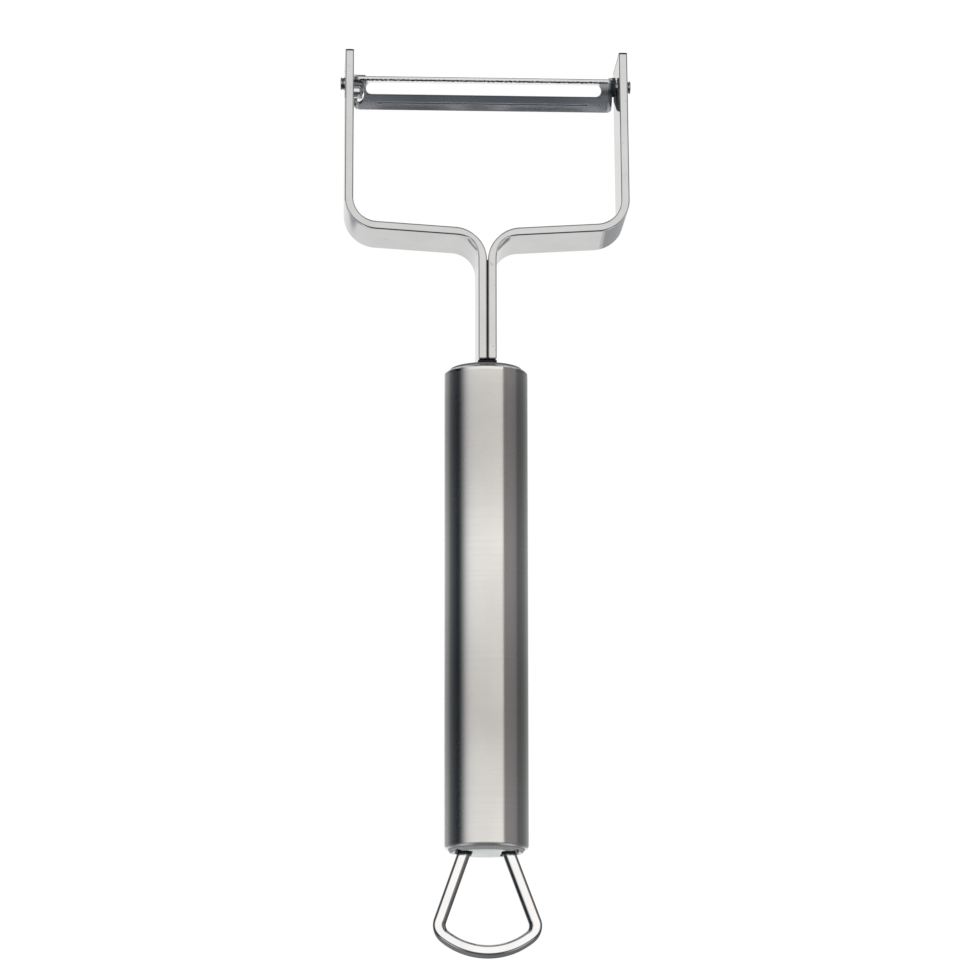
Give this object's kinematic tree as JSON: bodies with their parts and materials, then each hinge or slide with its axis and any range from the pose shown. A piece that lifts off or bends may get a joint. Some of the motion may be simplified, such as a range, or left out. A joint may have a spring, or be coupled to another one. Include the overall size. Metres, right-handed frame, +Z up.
{
  "type": "vegetable peeler",
  "caption": "Steel vegetable peeler with a round brushed handle, a Y-shaped yoke of bent strips, a swivelling slotted cross blade and a swinging hanging loop.",
  "frame": {"origin": "under the middle of the whole peeler, on the surface that it lies on", "axes": "+Y along the handle from the hanging loop to the blade, +Z up out of the face that is seen in the picture, +X across to the right arm"},
  "size_m": [0.0672, 0.2076, 0.019],
  "materials": {
    "brushed_steel": "brushed round the handle",
    "polished_steel": "polished stainless steel",
    "blade_steel": "fine satin, ground along the edge",
    "plain_steel": "plain, unpolished",
    "black_rubber": "matt"
  },
  "bodies": {
    "handle": {"handle_tube": "brushed_steel", "front_cap": "polished_steel", "rear_cap": "polished_steel", "stem_seal": "black_rubber", "yoke_arm_left": "polished_steel", "yoke_arm_right": "polished_steel", "tang_cheek_left": "plain_steel", "tang_cheek_right": "plain_steel", "tang_rivet_front": "plain_steel", "tang_rivet_rear": "plain_steel", "pivot_rivet_left": "polished_steel", "pivot_rivet_right": "polished_steel", "stop_stud": "polished_steel", "loop_axle": "plain_steel"},
    "blade": {"peeling_blade": "blade_steel"},
    "loop": {"hanging_loop": "polished_steel"}
  },
  "joints": [
    {"name": "blade_swing", "type": "hinge", "parent": "handle", "child": "blade", "pos_m": [0, 0.09795, 0.0095], "axis": [1, 0, 0], "range_deg": [-12, 12]},
    {"name": "loop_swing", "type": "hinge", "parent": "handle", "child": "loop", "pos_m": [0, -0.07545, 0.0095], "axis": [1, 0, 0], "range_deg": [-25, 25]}
  ]
}
